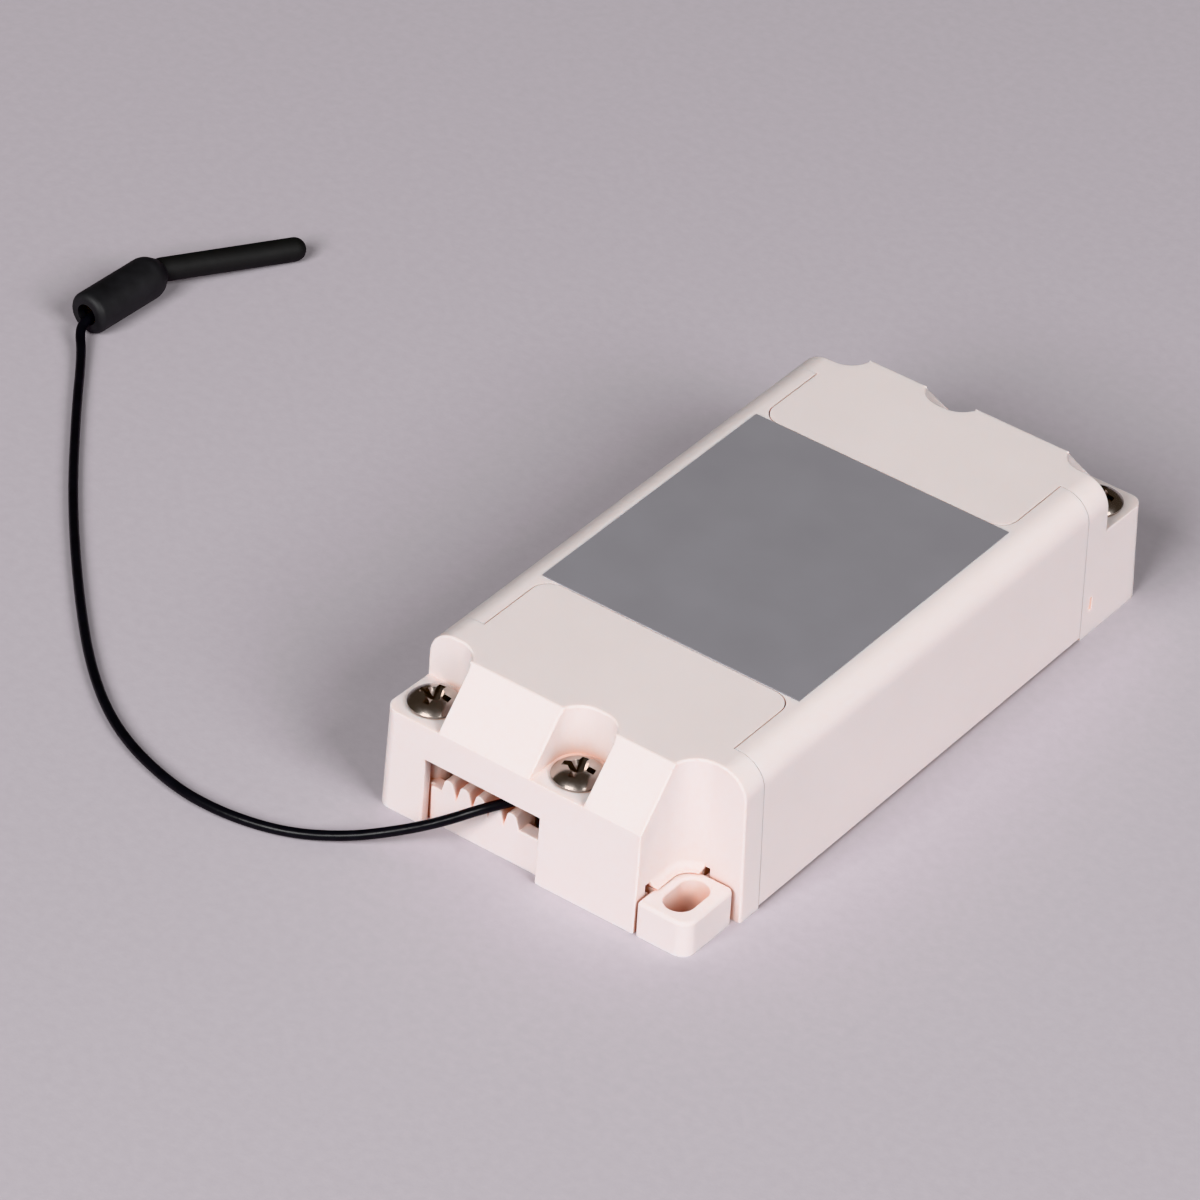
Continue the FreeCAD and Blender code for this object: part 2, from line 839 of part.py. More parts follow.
def terminal_screw(pole):
    x = pole_centres()[pole]
    v = block_v + block_screw_v
    seat = cage_top + seat_gap
    top = seat + clamp_screw_head_height
    head = rod(x, v, seat, top, clamp_screw_head_radius)
    shank = rod(x, v, seat - clamp_screw_length, seat, clamp_screw_radius)
    half = clamp_screw_head_radius + overcut
    thin = clamp_screw_slot / 2
    slot = block(x - half, x + half, v - thin, v + thin, top - clamp_screw_slot_depth, top + overcut)
    return head.fuse(shank).cut(slot).removeSplitter()


def module_board():
    far_x = module_x + module_width
    return block(module_x, far_x, module_v, module_v + module_length, board_top, module_top)


def module_shield():
    x1 = module_x + module_width - shield_margin
    x0 = x1 - shield_width
    v1 = module_v + module_length - shield_margin
    v0 = v1 - shield_length
    top = module_top + shield_height
    can = block(x0, x1, v0, v1, module_top, top)
    thin = shield_wall
    hollow = block(x0 + thin, x1 - thin, v0 + thin, v1 - thin, module_top - overcut, top - thin)
    return can.cut(hollow)


def socket_place():
    return module_x + socket_inset_x, module_v + socket_inset_v


def plug_mouth():
    """Where the lead comes into the plug's barrel."""
    x, v = socket_place()
    return x, v - plug_barrel_length, module_top + socket_height + plug_height / 2


def inside_route():
    """The chosen points, then straight into the plug."""
    x, v, z = plug_mouth()
    return inside_points + [(x, v - plug_approach, z), (x, v, z)]


def antenna_socket():
    x, v = socket_place()
    half = socket_size / 2
    base = block(x - half, x + half, v - half, v + half, module_top, module_top + socket_height)
    pin = rod(x, v, module_top, module_top + socket_height + socket_pin_height, socket_pin_radius)
    return base.fuse(pin).removeSplitter()


def antenna_plug():
    """The round snap-on plug, with the crimped barrel that the lead enters."""
    x, v = socket_place()
    low = module_top + socket_height
    cap = rod(x, v, low, low + plug_height, plug_radius)
    cup = rod(x, v, low - overcut, low + socket_pin_height + seat_gap, socket_pin_radius + seat_gap)
    mouth = place(plug_mouth())
    barrel = Part.makeCylinder(plug_barrel_radius, end_y(v) - mouth.y, mouth, vector(0, 1, 0))
    return cap.fuse(barrel).cut(cup).removeSplitter()


def cord_tube(route, name):
    """A round cord along straight runs joined by arcs as large as the runs allow."""
    points = [place(point) for point in route]
    radii = [0.0] * len(points)
    for index in range(1, len(points) - 1):
        before = points[index - 1] - points[index]
        after = points[index + 1] - points[index]
        half_turn = (math.pi - before.getAngle(after)) / 2
        radii[index] = bend_share * min(before.Length, after.Length) / math.tan(half_turn)
    path = rounded_wire(points, radii, closed=False)
    start = points[0]
    heading = (points[1] - points[0]).normalize()
    ring = Part.Wire(Part.makeCircle(lead_radius, start, heading))
    tube = path.makePipeShell([ring], True, False)
    section = math.pi * lead_radius ** 2
    print(name, "length", round(path.Length, 1), "radii", [round(radius, 1) for radius in radii[1:-1]])
    print(name, "volume against section times length", round(tube.Volume / (section * path.Length), 5))
    return tube


def on_sleeve(shape):
    """Lays a piece modelled along +Y from the sleeve's rim in its place on the floor."""
    placed = shape.copy()
    placed.rotate(vector(0, 0, 0), vector(0, 0, 1), sleeve_heading - 90)
    placed.translate(place(sleeve_mouth))
    return placed


def spun_about_y(outline, radii=None):
    """A solid of revolution about +Y from (radius, y) corners, rounded where radii are given."""
    points = [vector(radius, y, 0) for radius, y in outline]
    face = Part.Face(rounded_wire(points, radii or [0] * len(points)))
    return face.revolve(vector(0, 0, 0), vector(0, 1, 0), 360)


def antenna_sleeve():
    """Heat-shrink tube: a narrow round mouth, a straight part and a shoulder drawn down on the tip."""
    neck = tip_radius + tip_clearance
    outline = [
        (sleeve_mouth_radius, 0),
        (sleeve_radius, 0),
        (sleeve_radius, sleeve_length - sleeve_shoulder),
        (neck + sleeve_collar, sleeve_length),
        (neck, sleeve_length),
        (neck, tip_start),
        (sleeve_bore_radius, tip_start),
        (sleeve_bore_radius, sleeve_mouth_depth),
        (sleeve_mouth_radius, sleeve_mouth_depth),
    ]
    radii = [0, sleeve_rim_radius, sleeve_shoulder_radius, 0, 0, 0, 0, 0, 0]
    return on_sleeve(spun_about_y(outline, radii))


def brass_tube():
    outer = sleeve_bore_radius - brass_clearance
    inner = outer - brass_wall
    back = tip_start - seat_gap
    outline = [(inner, brass_setback), (outer, brass_setback), (outer, back), (inner, back)]
    return on_sleeve(spun_about_y(outline))


def antenna_tip():
    """The thin jacketed end: straight in the sleeve, bent at its mouth, then down to the floor."""
    axis = heading_vector(sleeve_heading)
    start = place(sleeve_mouth) + axis * tip_start
    corner = place(sleeve_mouth) + axis * (sleeve_length + tip_straight)
    drop = sleeve_radius - tip_radius - floor_gap
    far = corner + heading_vector(tip_heading) * tip_length - vector(0, 0, drop)
    path = rounded_wire([start, corner, far], [0, tip_bend_radius, 0], closed=False)
    ring = Part.Wire(Part.makeCircle(tip_radius, start, axis))
    tube = path.makePipeShell([ring], True, False)
    end_ball = Part.makeSphere(tip_radius, far)
    return tube.fuse(end_ball).removeSplitter()


def bulk_capacitor():
    """A can with a rolled groove near its foot."""
    low = board_top
    groove = low + capacitor_groove_height
    r = capacitor_radius
    outline = [
        (0, low),
        (r, low),
        (r, groove - capacitor_groove),
        (r - capacitor_groove, groove),
        (r, groove + capacitor_groove),
        (r, low + capacitor_height - capacitor_groove),
        (r - capacitor_groove, low + capacitor_height),
        (0, low + capacitor_height),
    ]
    points = [vector(x, 0, z) for x, z in outline]
    face = Part.Face(Part.makePolygon(points + [points[0]]))
    can = face.revolve(vector(0, 0, 0), vector(0, 0, 1), 360)
    can.translate(vector(capacitor_x, end_y(capacitor_v), 0))
    return can


def square_plan(size, corner, z0, z1):
    """A square with round corners about the choke's middle."""
    left = inductor_x - size / 2
    right = inductor_x + size / 2
    front = inductor_v - size / 2
    back = inductor_v + size / 2
    corners = [(left, front), (right, front), (right, back), (left, back)]
    return plan_prism(corners, [corner] * 4, z0, z1)


def power_inductor():
    """A shielded choke: a square base and a rounded ferrite shell."""
    base_top = board_top + inductor_base
    base = square_plan(inductor_size, inductor_base, board_top, base_top)
    shell = square_plan(inductor_shell_size, inductor_corner, base_top, board_top + inductor_height)
    return base.fuse(shell)


def power_transistors():
    """Two flat power transistors, each with its metal tab."""
    pieces = []
    for index in range(2):
        x = transistor_x + index * transistor_pitch
        half = transistor_width / 2
        narrow = half - transistor_tab_inset
        v2 = length - transistor_rear_v
        v1 = v2 - transistor_tab
        v0 = v1 - transistor_length
        tab_top = board_top + transistor_tab_thickness
        body = block(x - half, x + half, v0, v1, board_top, board_top + transistor_height)
        tab = block(x - narrow, x + narrow, v1, v2, board_top, tab_top)
        pieces.append(body.fuse(tab))
    return Part.makeCompound(pieces)


def driver_chip():
    """A small chip with a row of legs on each side."""
    left = chip_x - chip_width / 2
    right = chip_x + chip_width / 2
    v1 = length - chip_rear_v
    v0 = v1 - chip_length
    body = block(left, right, v0, v1, board_top, board_top + chip_height)
    leg_left = left - chip_leg_reach
    leg_right = right + chip_leg_reach
    leg_top = board_top + chip_leg_thickness
    pitch = chip_length / chip_legs
    legs = []
    for index in range(chip_legs):
        v = v0 + (index + 0.5) * pitch - chip_leg_width / 2
        legs.append(block(leg_left, leg_right, v, v + chip_leg_width, board_top, leg_top))
    return body.multiFuse(legs)


def fuse_body():
    v1 = length - fuse_rear_v
    half = fuse_width / 2
    return block(fuse_x - half, fuse_x + half, v1 - fuse_length, v1, board_top, board_top + fuse_height)


def ceramic_capacitors():
    left = small_part_x - small_part_length / 2
    right = small_part_x + small_part_length / 2
    top = board_top + small_part_height
    pieces = []
    for index in range(small_part_count):
        v1 = length - small_part_rear_v - index * small_part_pitch
        pieces.append(block(left, right, v1 - small_part_width, v1, board_top, top))
    return Part.makeCompound(pieces)


def export(name, shape):
    shape.exportStep("parts/" + name + ".step")
    print(name, len(shape.Solids), round(shape.Volume, 2), shape.isValid())


def build():
    os.makedirs("parts", exist_ok=True)
    front_cover = terminal_cover()
    corner_screw = cover_screw(corner_screw_x, 8)
    centre_screw = cover_screw(centre_screw_offset, 12)
    terminal_body = terminal_block()
    cages = terminal_cages()
    export("base_tray", base_tray())
    export("main_cover", main_cover())
    export("front_terminal_cover", front_cover)
    export("rear_terminal_cover", turned(front_cover))
    export("front_corner_screw", corner_screw)
    export("front_centre_screw", centre_screw)
    export("rear_corner_screw", turned(corner_screw))
    export("rear_centre_screw", turned(centre_screw))
    export("rating_label", rating_label())
    export("circuit_board", circuit_board())
    export("front_terminal_block", terminal_body)
    export("rear_terminal_block", turned(terminal_body))
    export("front_wire_cages", cages)
    export("rear_wire_cages", turned(cages))
    for pole in range(block_poles):
        screw = terminal_screw(pole)
        export("front_clamp_screw_" + str(pole + 1), screw)
        export("rear_clamp_screw_" + str(pole + 1), turned(screw))
    export("radio_module_board", module_board())
    export("radio_module_shield", module_shield())
    export("antenna_socket", antenna_socket())
    export("antenna_plug", antenna_plug())
    export("bulk_capacitor", bulk_capacitor())
    export("power_inductor", power_inductor())
    export("power_transistors", power_transistors())
    export("driver_chip", driver_chip())
    export("fuse", fuse_body())
    export("ceramic_capacitors", ceramic_capacitors())
    export("antenna_lead_inside", cord_tube(inside_route(), "inside lead"))
    export("antenna_lead", cord_tube(lead_points, "free lead"))
    export("antenna_sleeve", antenna_sleeve())
    export("antenna_brass_tube", brass_tube())
    export("antenna_tip", antenna_tip())


build()
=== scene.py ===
import math

import bmesh
import bpy
from mathutils import Matrix, Vector

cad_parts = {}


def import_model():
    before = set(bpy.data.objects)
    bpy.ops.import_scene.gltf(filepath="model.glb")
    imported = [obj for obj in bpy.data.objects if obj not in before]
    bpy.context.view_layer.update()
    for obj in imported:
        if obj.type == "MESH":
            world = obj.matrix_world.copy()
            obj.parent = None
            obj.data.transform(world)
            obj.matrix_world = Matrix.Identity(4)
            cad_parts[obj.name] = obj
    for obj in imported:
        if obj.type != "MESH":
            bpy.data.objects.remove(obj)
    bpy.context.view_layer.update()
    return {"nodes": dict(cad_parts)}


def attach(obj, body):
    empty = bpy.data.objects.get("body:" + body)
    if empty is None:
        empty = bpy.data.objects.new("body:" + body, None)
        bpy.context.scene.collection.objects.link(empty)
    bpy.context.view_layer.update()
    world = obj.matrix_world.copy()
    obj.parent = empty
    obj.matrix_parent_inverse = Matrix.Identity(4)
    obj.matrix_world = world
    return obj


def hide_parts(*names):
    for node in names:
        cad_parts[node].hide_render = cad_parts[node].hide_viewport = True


# Looks of the light controller: softened mouldings, a smooth antenna lead, materials, light and camera.
# Metres. X runs across the housing, Y along it with the antenna end at -Y, Z up from the floor.

# Softened edges of the mouldings
SHARP_ANGLE = math.radians(35)
FLAT_ANGLE = math.radians(0.3)
MERGE_DISTANCE = 3e-6
COVER_SOFTNESS = 0.0003
TRAY_SOFTNESS = 0.00025
SOFTENING_STEPS = 3
ROUND_PROFILE = 0.5
SHORTEST_SOFTENED = 0.0003
NARROWEST_SOFTENED = 0.0005
FOOT_HEIGHT = 0.0001
SEAM_REACH = 0.0364
LARGE_FACES_FIRST = 100

# The mouldings: CAD node, softened piece that stands for it, body and softness
MOULDINGS = [
    ("front_terminal_cover", "front_cover_moulding", "front_cover", COVER_SOFTNESS),
    ("rear_terminal_cover", "rear_cover_moulding", "rear_cover", COVER_SOFTNESS),
    ("main_cover", "main_cover_moulding", "housing", TRAY_SOFTNESS),
    ("base_tray", "base_tray_moulding", "housing", TRAY_SOFTNESS),
]

# How open a place is, from 0 to 1, where a finish takes its painted shade colour and where it keeps its own
PLASTIC_OPENNESS = (0.06, 0.37)
DEEP_OPENNESS = (0.05, 0.28)
STEEL_OPENNESS = (0.36, 0.8)
OPENNESS_SAMPLES = 8

# Copper tracks on the circuit boards
TRACK_BANDS = 350
TRACK_CELLS = 170
TRACK_EDGE = 0.6
TURNED_CELLS = 0.5

# Grain of the plain finishes
TONE_GRAIN = 400
SURFACE_GRAIN = 4000

# Places of a Mix node's first input, second input and result, which its kinds of sockets name alike
NUMBER_SOCKETS = (2, 3, 0)
COLOR_SOCKETS = (6, 7, 2)

# Plain finishes: darker tone, lighter tone, roughness and metallic share
PLAIN_FINISHES = {
    "antenna_jacket": ((0.02, 0.02, 0.021), (0.03, 0.03, 0.032), 0.6, 0.0),
    # The tip's tones are set darker than the sleeve's: painted shade for the darker light the tip gets
    "tip_jacket": ((0.013, 0.013, 0.013), (0.018, 0.018, 0.018), 0.7, 0.0),
    "contact_brass": ((0.6, 0.42, 0.17), (0.72, 0.52, 0.22), 0.3, 1.0),
    "plated_metal": ((0.55, 0.55, 0.54), (0.66, 0.66, 0.64), 0.32, 1.0),
    "block_plastic": ((0.03, 0.2, 0.07), (0.04, 0.24, 0.09), 0.45, 0.0),
    "capacitor_sleeve": ((0.01, 0.01, 0.012), (0.016, 0.016, 0.02), 0.3, 0.0),
    "ferrite": ((0.03, 0.03, 0.032), (0.05, 0.05, 0.052), 0.7, 0.0),
    "chip_plastic": ((0.012, 0.012, 0.012), (0.02, 0.02, 0.02), 0.55, 0.0),
    "fuse_plastic": ((0.1, 0.055, 0.025), (0.13, 0.07, 0.035), 0.3, 0.0),
    "capacitor_ceramic": ((0.3, 0.2, 0.1), (0.36, 0.25, 0.13), 0.5, 0.0),
}

# The finish of each CAD piece that shows as it is, apart from the screws
PIECE_FINISHES = {
    "rating_label": "label_film",
    "circuit_board": "board_laminate",
    "radio_module_board": "module_laminate",
    "radio_module_shield": "plated_metal",
    "front_terminal_block": "block_plastic",
    "rear_terminal_block": "block_plastic",
    "front_wire_cages": "plated_metal",
    "rear_wire_cages": "plated_metal",
    "antenna_socket": "contact_brass",
    "antenna_plug": "contact_brass",
    "antenna_brass_tube": "contact_brass",
    "bulk_capacitor": "capacitor_sleeve",
    "power_inductor": "ferrite",
    "power_transistors": "chip_plastic",
    "driver_chip": "chip_plastic",
    "fuse": "fuse_plastic",
    "ceramic_capacitors": "capacitor_ceramic",
    "antenna_sleeve": "antenna_jacket",
    "antenna_tip": "tip_jacket",
}
SCREW_ENDINGS = ("screw", "screw_1", "screw_2")

# Antenna lead
LEAD_DIAMETER = 0.00137
ROUND_STEPS = 6
STEPS_PER_STRETCH = 10

# The lead's chosen points in millimetres, as in the part's source
LEAD_POINTS = [
    (-5.4, -47.9, 8.565),
    (-7.5, -50.8, 8.2),
    (-12.1, -54.0, 5.4),
    (-17.2, -56.8, 3.0),
    (-22.5, -59.9, 1.3),
    (-29.2, -63.6, 0.705),
    (-37.9, -65.7, 0.705),
    (-46.7, -65.4, 0.705),
    (-58.4, -61.6, 0.705),
    (-69.1, -54.3, 0.705),
    (-81.5, -42.4, 0.705),
    (-95.7, -27.1, 0.705),
    (-108.5, -11.3, 0.705),
    (-117.0, -0.1, 0.85),
    (-119.9, 2.8, 1.75),
    (-120.35, 4.5, 2.4),
    (-120.2, 9.5, 2.4),
    (-120.0, 15.1, 2.4),
]
INSIDE_POINTS = [
    (-5.4, -47.9, 8.565),
    (-3.0, -44.6, 8.6),
    (0.4, -40.3, 8.5),
    (3.8, -35.4, 8.2),
    (6.9, -30.6, 8.0),
    (7.2, -26.2, 7.95),
    (7.2, -21.9, 7.95),
]

# Camera, from the housing's straight edges
CAMERA_TARGET = Vector((-0.02883, 0.00218, 0.0))
CAMERA_DISTANCE = 0.9
CAMERA_AZIMUTH = math.radians(34.97)
CAMERA_ELEVATION = math.radians(36.93)
CAMERA_ROLL = math.radians(3.33)
CAMERA_LENS = 203.46
SENSOR_WIDTH = 36.0

# Studio
FLOOR_SIZE = 4.0
FLOOR_COLOR = (0.528, 0.487, 0.528)
FLOOR_FLECK = (0.552, 0.509, 0.552)
SOFTBOX_DISTANCE = 2.8
SOFTBOX_SIZE = 1.3
WORLD_COLOR = (1.0, 0.93, 0.86)
WORLD_STRENGTH = 0.1


def towards(azimuth, elevation):
    """The direction of an azimuth and an elevation from the part; azimuth 0 is the antenna end's side."""
    return Vector((
        math.sin(azimuth) * math.cos(elevation),
        -math.cos(azimuth) * math.cos(elevation),
        math.sin(elevation),
    ))


def place_view():
    """The photograph's camera."""
    back = towards(CAMERA_AZIMUTH, CAMERA_ELEVATION)
    level = Vector((math.cos(CAMERA_AZIMUTH), math.sin(CAMERA_AZIMUTH), 0.0))
    upright = back.cross(level)
    right = level * math.cos(CAMERA_ROLL) + upright * math.sin(CAMERA_ROLL)
    up = upright * math.cos(CAMERA_ROLL) - level * math.sin(CAMERA_ROLL)
    data = bpy.data.cameras.new("view")
    data.lens = CAMERA_LENS
    data.sensor_width = SENSOR_WIDTH
    data.sensor_fit = "HORIZONTAL"
    view = bpy.data.objects.new("view", data)
    turn = Matrix((right, up, back)).transposed().to_4x4()
    view.matrix_world = Matrix.Translation(CAMERA_TARGET + back * CAMERA_DISTANCE) @ turn
    bpy.context.scene.collection.objects.link(view)
    bpy.context.scene.camera = view


def softbox(name, azimuth, elevation, power):
    """A square soft light that looks at the part from an azimuth and elevation in degrees."""
    direction = towards(math.radians(azimuth), math.radians(elevation))
    data = bpy.data.lights.new(name, "AREA")
    data.shape = "SQUARE"
    data.size = SOFTBOX_SIZE
    data.energy = power
    lamp = bpy.data.objects.new(name, data)
    lamp.location = CAMERA_TARGET + direction * SOFTBOX_DISTANCE
    lamp.rotation_euler = direction.to_track_quat("Z", "Y").to_euler()
    bpy.context.scene.collection.objects.link(lamp)


def light_stage():
    """Two softboxes and a faint warm surround."""
    softbox("front_softbox", azimuth=2, elevation=34, power=71.0)
    softbox("side_softbox", azimuth=80, elevation=35, power=51.0)
    world = bpy.data.worlds.new("studio")
    bpy.context.scene.world = world
    world.use_nodes = True
    background = world.node_tree.nodes["Background"]
    background.inputs["Color"].default_value = (*WORLD_COLOR, 1.0)
    background.inputs["Strength"].default_value = WORLD_STRENGTH
    bpy.context.scene.view_settings.view_transform = "Khronos PBR Neutral"


def new_material(name, color, roughness, metallic=0.0):
    """A material, its node tree and its shader, with plain starting values."""
    made = bpy.data.materials.new(name)
    made.use_nodes = True
    tree = made.node_tree
    shader = tree.nodes["Principled BSDF"]
    shader.inputs["Base Color"].default_value = (*color, 1.0)
    shader.inputs["Roughness"].default_value = roughness
    shader.inputs["Metallic"].default_value = metallic
    return made, tree, shader


def own_place(tree):
    """The object's own coordinates."""
    return tree.nodes.new("ShaderNodeTexCoord").outputs["Object"]


def noise(tree, scale, detail=3.0):
    """A noise texture on the object's own coordinates."""
    texture = tree.nodes.new("ShaderNodeTexNoise")
    texture.inputs["Scale"].default_value = scale
    texture.inputs["Detail"].default_value = detail
    tree.links.new(own_place(tree), texture.inputs["Vector"])
    return texture.outputs["Fac"]


def color_ramp(tree, factor, low, high):
    """A blend between two colours, steered by a factor."""
    ramp = tree.nodes.new("ShaderNodeValToRGB")
    for element, position, color in zip(ramp.color_ramp.elements, (0.3, 0.7), (low, high)):
        element.position = position
        element.color = (*color, 1.0)
    tree.links.new(factor, ramp.inputs["Fac"])
    return ramp.outputs["Color"]


def set_color(tree, shader, color):
    """Colours the shader by a colour output."""
    tree.links.new(color, shader.inputs["Base Color"])


def vary_roughness(tree, shader, factor, low, high):
    """Lets the roughness wander between two values."""
    spread = tree.nodes.new("ShaderNodeMapRange")
    spread.inputs["To Min"].default_value = low
    spread.inputs["To Max"].default_value = high
    tree.links.new(factor, spread.inputs["Value"])
    tree.links.new(spread.outputs["Result"], shader.inputs["Roughness"])


def add_bump(tree, shader, height, depth, strength):
    """Bends the shading by a height output, of the given depth in metres."""
    bump = tree.nodes.new("ShaderNodeBump")
    bump.inputs["Strength"].default_value = strength
    bump.inputs["Distance"].default_value = depth
    tree.links.new(height, bump.inputs["Height"])
    tree.links.new(bump.outputs["Normal"], shader.inputs["Normal"])


def paint_shade_in_hollows(tree, open_color, painted_shade_color, reach, openness):
    """The open colour, blended towards a painted shade colour where surfaces lie nearer than reach."""
    shade = tree.nodes.new("ShaderNodeAmbientOcclusion")
    shade.samples = OPENNESS_SAMPLES
    shade.inputs["Distance"].default_value = reach
    spread = tree.nodes.new("ShaderNodeMapRange")
    spread.inputs["From Min"].default_value = openness[0]
    spread.inputs["From Max"].default_value = openness[1]
    tree.links.new(shade.outputs["AO"], spread.inputs["Value"])
    # Painted shade: the colour turns to the given shade colour in crevices, recesses and between close parts
    blend = tree.nodes.new("ShaderNodeMix")
    blend.data_type = "RGBA"
    hollow, plain, result = COLOR_SOCKETS
    tree.links.new(spread.outputs["Result"], blend.inputs["Factor"])
    blend.inputs[hollow].default_value = (*painted_shade_color, 1.0)
    tree.links.new(open_color, blend.inputs[plain])
    return blend.outputs[result]


def housing_plastic():
    """Warm white moulded plastic with a fine matt grain, translucent, with painted warm shade and a painted
    glow of light through the plastic in its hollows.
    """
    made, tree, shader = new_material("housing_plastic", (0.83, 0.74, 0.72), 0.45)
    tone = color_ramp(tree, noise(tree, 60), low=(0.815, 0.737, 0.725), high=(0.835, 0.76, 0.749))
    # Painted shade and painted warm glow: darker, redder colour in close and in deeper hollows, standing in
    # for shade and light passed through the plastic
    tone = paint_shade_in_hollows(tree, tone, (0.62, 0.44, 0.35), reach=0.009, openness=PLASTIC_OPENNESS)
    tone = paint_shade_in_hollows(tree, tone, (0.79, 0.44, 0.34), reach=0.02, openness=DEEP_OPENNESS)
    set_color(tree, shader, tone)
    vary_roughness(tree, shader, noise(tree, 900), low=0.4, high=0.52)
    add_bump(tree, shader, noise(tree, 5000, detail=2.0), depth=0.00003, strength=0.35)
    shader.subsurface_method = "BURLEY"
    shader.inputs["Subsurface Weight"].default_value = 0.8
    shader.inputs["Subsurface Radius"].default_value = (1.0, 0.6, 0.45)
    shader.inputs["Subsurface Scale"].default_value = 0.001
    return made


def label_film():
    """Matt grey film."""
    made, tree, shader = new_material("label_film", (0.2, 0.2, 0.22), 0.5)
    tone = color_ramp(tree, noise(tree, 90), low=(0.28, 0.27, 0.295), high=(0.3, 0.29, 0.315))
    set_color(tree, shader, tone)
    add_bump(tree, shader, noise(tree, 7000, detail=2.0), depth=0.00002, strength=0.4)
    return made


def screw_steel():
    """Nickel plating with faint turning marks, with painted shade in the driver recess and round the foot of
    the head.
    """
    made, tree, shader = new_material("screw_steel", (0.58, 0.51, 0.47), 0.24, 1.0)
    tone = color_ramp(tree, noise(tree, 700), low=(0.54, 0.475, 0.435), high=(0.62, 0.545, 0.505))
    # Painted shade: near-black colour in the driver recess and where the head meets its pocket
    tone = paint_shade_in_hollows(tree, tone, (0.15, 0.125, 0.11), reach=0.0014, openness=STEEL_OPENNESS)
    set_color(tree, shader, tone)
    vary_roughness(tree, shader, noise(tree, 2500, detail=4.0), low=0.18, high=0.3)
    add_bump(tree, shader, noise(tree, 1500), depth=0.00002, strength=0.5)
    return made


def plain_finish(name, low, high, roughness, metallic):
    """A finish of two close tones with a fine grain."""
    made, tree, shader = new_material(name, high, roughness, metallic)
    set_color(tree, shader, color_ramp(tree, noise(tree, TONE_GRAIN), low, high))
    add_bump(tree, shader, noise(tree, SURFACE_GRAIN, detail=2.0), depth=0.00002, strength=0.4)
    return made


def above(tree, value, limit):
    """One where the value is above the limit, and zero elsewhere."""
    test = tree.nodes.new("ShaderNodeMath")
    test.operation = "GREATER_THAN"
    test.inputs[1].default_value = limit
    tree.links.new(value, test.inputs[0])
    return test.outputs["Value"]


def parallel_tracks(tree, direction):
    """One on parallel tracks that follow each other along X or Y, and zero between them."""
    waves = tree.nodes.new("ShaderNodeTexWave")
    waves.bands_direction = direction
    waves.inputs["Scale"].default_value = TRACK_BANDS
    tree.links.new(own_place(tree), waves.inputs["Vector"])
    return above(tree, waves.outputs["Fac"], TRACK_EDGE)


def board_finish(name, mask_color, track_color):
    """Glossy solder mask over copper tracks, which change direction from cell to cell."""
    made, tree, shader = new_material(name, mask_color, 0.3)
    cells = tree.nodes.new("ShaderNodeTexVoronoi")
    cells.distance = "CHEBYCHEV"
    cells.inputs["Scale"].default_value = TRACK_CELLS
    tree.links.new(own_place(tree), cells.inputs["Vector"])
    tracks = tree.nodes.new("ShaderNodeMix")
    first, second, result = NUMBER_SOCKETS
    tree.links.new(above(tree, cells.outputs["Color"], TURNED_CELLS), tracks.inputs["Factor"])
    tree.links.new(parallel_tracks(tree, "X"), tracks.inputs[first])
    tree.links.new(parallel_tracks(tree, "Y"), tracks.inputs[second])
    set_color(tree, shader, color_ramp(tree, tracks.outputs[result], mask_color, track_color))
    add_bump(tree, shader, tracks.outputs[result], depth=0.00003, strength=0.4)
    return made


def lead_jacket():
    """Smooth black cable jacket with a faint waviness that breaks up its highlight."""
    made, tree, shader = new_material("lead_jacket", (0.014, 0.014, 0.016), 0.4)
    tone = color_ramp(tree, noise(tree, 500), low=(0.01, 0.01, 0.011), high=(0.016, 0.016, 0.018))
    set_color(tree, shader, tone)
    vary_roughness(tree, shader, noise(tree, 350), low=0.24, high=0.42)
    add_bump(tree, shader, noise(tree, 450), depth=0.00015, strength=0.5)
    shader.inputs["Specular IOR Level"].default_value = 0.25
    return made


def backdrop_paper():
    """Matt lilac-grey paper with a faint fleck."""
    made, tree, shader = new_material("backdrop_paper", FLOOR_COLOR, 0.9)
    set_color(tree, shader, color_ramp(tree, noise(tree, 700, detail=4.0), FLOOR_COLOR, FLOOR_FLECK))
    add_bump(tree, shader, noise(tree, 1800, detail=4.0), depth=0.0001, strength=0.15)
    return made


def piece_finishes():
    """The finishes of the CAD pieces, by name."""
    finishes = {name: plain_finish(name, *look) for name, look in PLAIN_FINISHES.items()}
    finishes["label_film"] = label_film()
    finishes["board_laminate"] = board_finish("board_laminate", (0.015, 0.11, 0.045), (0.03, 0.2, 0.08))
    finishes["module_laminate"] = board_finish("module_laminate", (0.01, 0.035, 0.14), (0.02, 0.07, 0.24))
    return finishes


def dress(piece, finish):
    """Gives a piece one finish."""
    piece.data.materials.clear()
    piece.data.materials.append(finish)


def dress_cad_pieces(nodes):
    """Finishes for the screws and for every CAD piece that shows as it is."""
    steel = screw_steel()
    finishes = piece_finishes()
    for name, node in nodes.items():
        if name.endswith(SCREW_ENDINGS):
            dress(node, steel)
        elif name in PIECE_FINISHES:
            dress(node, finishes[PIECE_FINISHES[name]])


def dissolved_copy(node):
    """The node's mesh with its seams closed and its flat faces whole."""
    mesh = bmesh.new()
    mesh.from_mesh(node.data)
    bmesh.ops.remove_doubles(mesh, verts=mesh.verts, dist=MERGE_DISTANCE)
    bmesh.ops.dissolve_limit(
        mesh, angle_limit=FLAT_ANGLE, verts=mesh.verts, edges=mesh.edges, use_dissolve_boundaries=False
    )
    bmesh.ops.recalc_face_normals(mesh, faces=mesh.faces)
    return mesh


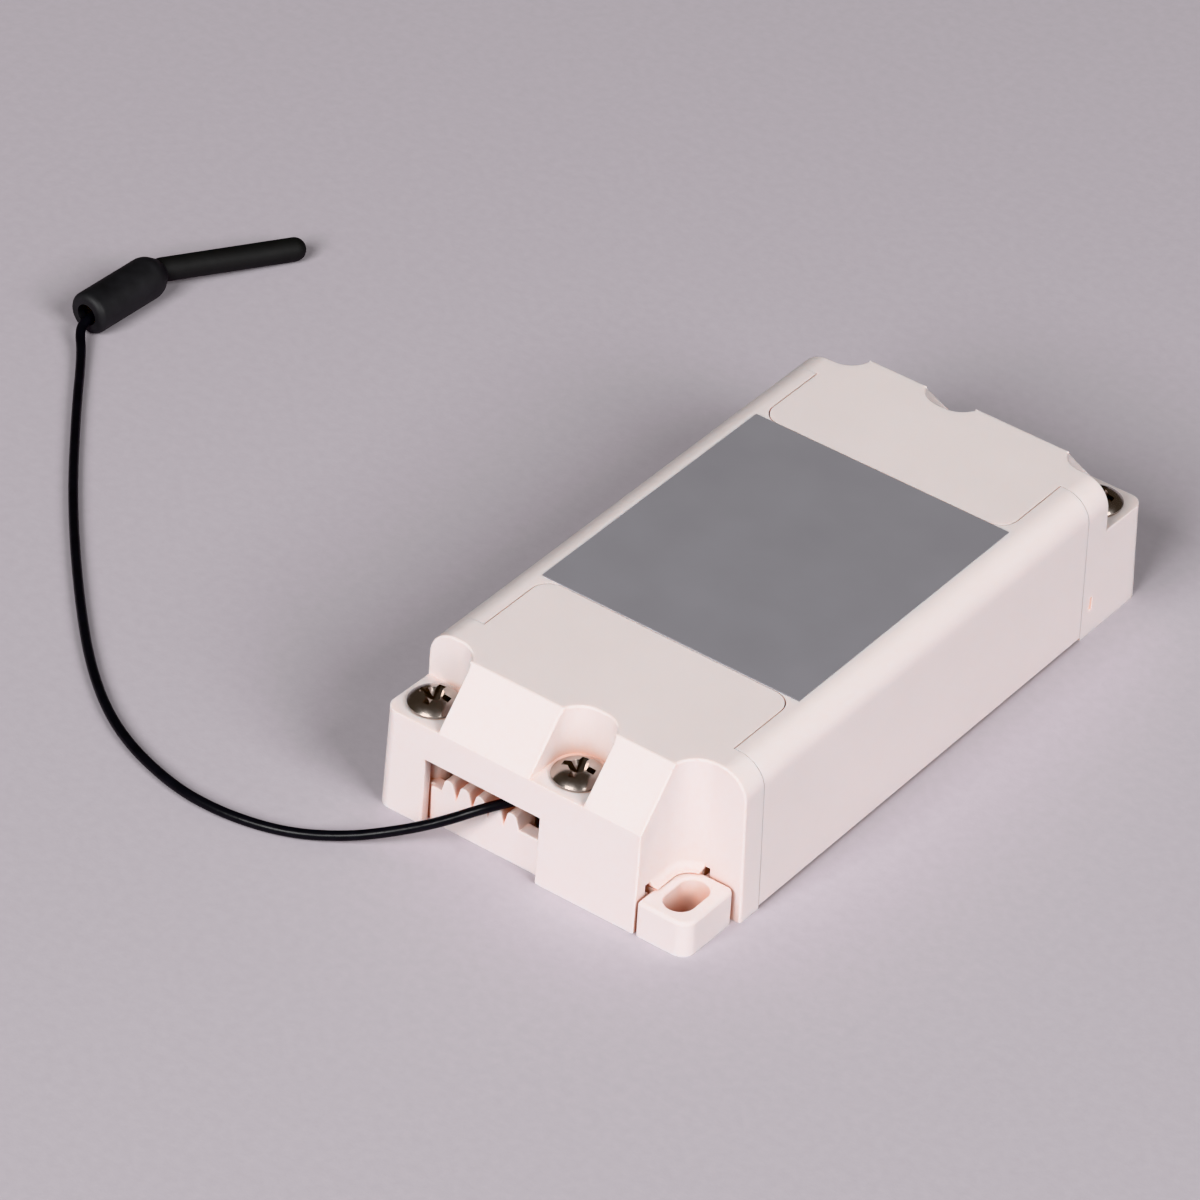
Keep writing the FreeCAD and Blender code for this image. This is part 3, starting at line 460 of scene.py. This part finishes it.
def is_crisp(edge):
    """An edge of the foot, or one no further out than the two seams across the housing, where pieces meet."""
    corners = [corner.co for corner in edge.verts]
    if max(corner.z for corner in corners) < FOOT_HEIGHT:
        return True
    return max(abs(corner.y) for corner in corners) < SEAM_REACH


def is_outer_sharp(edge):
    """A sharp outward edge that is long enough, between faces wide enough, to be softened."""
    if len(edge.link_faces) != 2 or not edge.is_convex or is_crisp(edge):
        return False
    size = edge.calc_length()
    if size < SHORTEST_SOFTENED or edge.calc_face_angle() < SHARP_ANGLE:
        return False
    return min(face.calc_area() for face in edge.link_faces) / size > NARROWEST_SOFTENED


def shade_by_angle(mesh):
    """Smooth shading everywhere but across sharp edges."""
    for face in mesh.faces:
        face.smooth = True
    for edge in mesh.edges:
        if len(edge.link_faces) == 2 and edge.calc_face_angle() > SHARP_ANGLE:
            edge.smooth = False


def softened(node, name, width):
    """A copy of a moulded CAD piece with its outer edges rounded."""
    mesh = dissolved_copy(node)
    bmesh.ops.bevel(
        mesh,
        geom=[edge for edge in mesh.edges if is_outer_sharp(edge)],
        offset=width,
        offset_type="OFFSET",
        segments=SOFTENING_STEPS,
        profile=ROUND_PROFILE,
        affect="EDGES",
        clamp_overlap=False,
    )
    shade_by_angle(mesh)
    data = bpy.data.meshes.new(name)
    mesh.to_mesh(data)
    mesh.free()
    piece = bpy.data.objects.new(name, data)
    bpy.context.scene.collection.objects.link(piece)
    weights = piece.modifiers.new("face_weights", "WEIGHTED_NORMAL")
    weights.keep_sharp = True
    weights.weight = LARGE_FACES_FIRST
    return piece


def add_mouldings(nodes):
    """The softened mouldings, each in place of its CAD node."""
    plastic = housing_plastic()
    for node_name, name, body, width in MOULDINGS:
        piece = softened(nodes[node_name], name, width)
        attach(piece, body)
        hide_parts(node_name)
        dress(piece, plastic)


def lead_curve(name, points, node_name, jacket):
    """A smooth round stretch of the lead through its control points, in place of its CAD node."""
    data = bpy.data.curves.new(name, "CURVE")
    data.dimensions = "3D"
    data.bevel_depth = LEAD_DIAMETER / 2
    data.bevel_resolution = ROUND_STEPS
    data.use_fill_caps = True
    data.resolution_u = STEPS_PER_STRETCH
    spline = data.splines.new("NURBS")
    spline.points.add(len(points) - 1)
    for point, (x, y, z) in zip(spline.points, points):
        point.co = (x / 1000, y / 1000, z / 1000, 1.0)
    spline.order_u = 3
    spline.use_endpoint_u = True
    piece = bpy.data.objects.new(name, data)
    bpy.context.scene.collection.objects.link(piece)
    dress(piece, jacket)
    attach(piece, "housing")
    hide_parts(node_name)
    return piece


def add_lead():
    """The antenna lead outside the housing and its stretch inside."""
    jacket = lead_jacket()
    lead = lead_curve("antenna_wire", LEAD_POINTS, "antenna_lead", jacket)
    lead_curve("antenna_wire_inside", INSIDE_POINTS, "antenna_lead_inside", jacket)


def add_floor():
    """The paper that the part lies on."""
    bpy.ops.mesh.primitive_plane_add(size=FLOOR_SIZE)
    floor = bpy.context.object
    floor.name = "floor"
    dress(floor, backdrop_paper())


def build():
    """The whole scene: the CAD pieces dressed, the softened mouldings, the lead, the floor, light and camera.
    """
    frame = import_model()
    nodes = frame["nodes"]
    dress_cad_pieces(nodes)
    add_mouldings(nodes)
    add_lead()
    add_floor()
    light_stage()
    place_view()


build()
